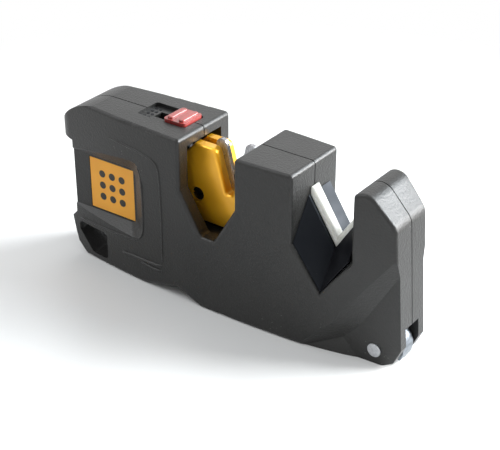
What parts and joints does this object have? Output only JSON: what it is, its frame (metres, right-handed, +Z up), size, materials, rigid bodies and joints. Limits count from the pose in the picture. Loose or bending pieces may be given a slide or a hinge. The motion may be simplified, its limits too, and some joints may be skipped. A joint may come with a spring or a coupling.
{
  "type": "knife sharpener",
  "caption": "Pocket pull through knife sharpener with a rocking carbide vee, a ceramic vee, a sliding lock and a flip out diamond rod.",
  "frame": {"origin": "middle of the base, on the surface that the sharpener stands on", "axes": "+X towards the tail with the rod hinge, +Y towards the back, -Y the front with the label plate, +Z up"},
  "size_m": [0.108, 0.022, 0.0479],
  "materials": {
    "body_plastic": "satin moulded ABS with a fine texture",
    "label_orange": "satin printed plate",
    "gold_coating": "gold coated steel, satin",
    "carbide": "ground tungsten carbide",
    "pin_steel": "turned and satin steel",
    "screw_steel": "blackened steel",
    "spring_steel": "blued spring steel",
    "bush_brass": "turned brass",
    "slider_red": "moulded red plastic, satin",
    "insert_plastic": "polished black plastic",
    "ceramic_white": "sintered white ceramic, smooth",
    "diamond_grit": "diamond grit in nickel plate"
  },
  "bodies": {
    "root": {"front_shell": "body_plastic", "back_shell": "body_plastic", "shell_screws": "screw_steel", "label_plate": "label_orange", "pivot_bushes": "bush_brass", "lock_detent_spring": "spring_steel", "ceramic_holder": "insert_plastic", "ceramic_left": "ceramic_white", "ceramic_right": "ceramic_white", "rod_pin": "pin_steel", "hub_washers": "pin_steel", "rod_detent_spring": "spring_steel"},
    "carrier": {"carrier_front_cheek": "gold_coating", "carrier_rear_cheek": "gold_coating", "carrier_screws": "screw_steel", "carbide_left": "carbide", "carbide_right": "carbide", "pivot_pins": "pin_steel"},
    "slider": {"lock_slider": "slider_red", "lock_tongue": "insert_plastic"},
    "rod": {"rod_hub": "pin_steel", "diamond_rod": "diamond_grit", "rod_rivet": "pin_steel"}
  },
  "joints": [
    {"name": "carrier_rock", "type": "hinge", "parent": "root", "child": "carrier", "pos_m": [-0.0006, 0, 0.03], "axis": [1, 0, 0], "range_deg": [-12, 12]},
    {"name": "lock_slide", "type": "slide", "parent": "root", "child": "slider", "axis": [-1, 0, 0], "range_m": [0, 0.006]},
    {"name": "rod_swing", "type": "hinge", "parent": "root", "child": "rod", "pos_m": [0.0468, 0, 0.0038], "axis": [0, -1, 0], "range_deg": [0, 180]}
  ]
}
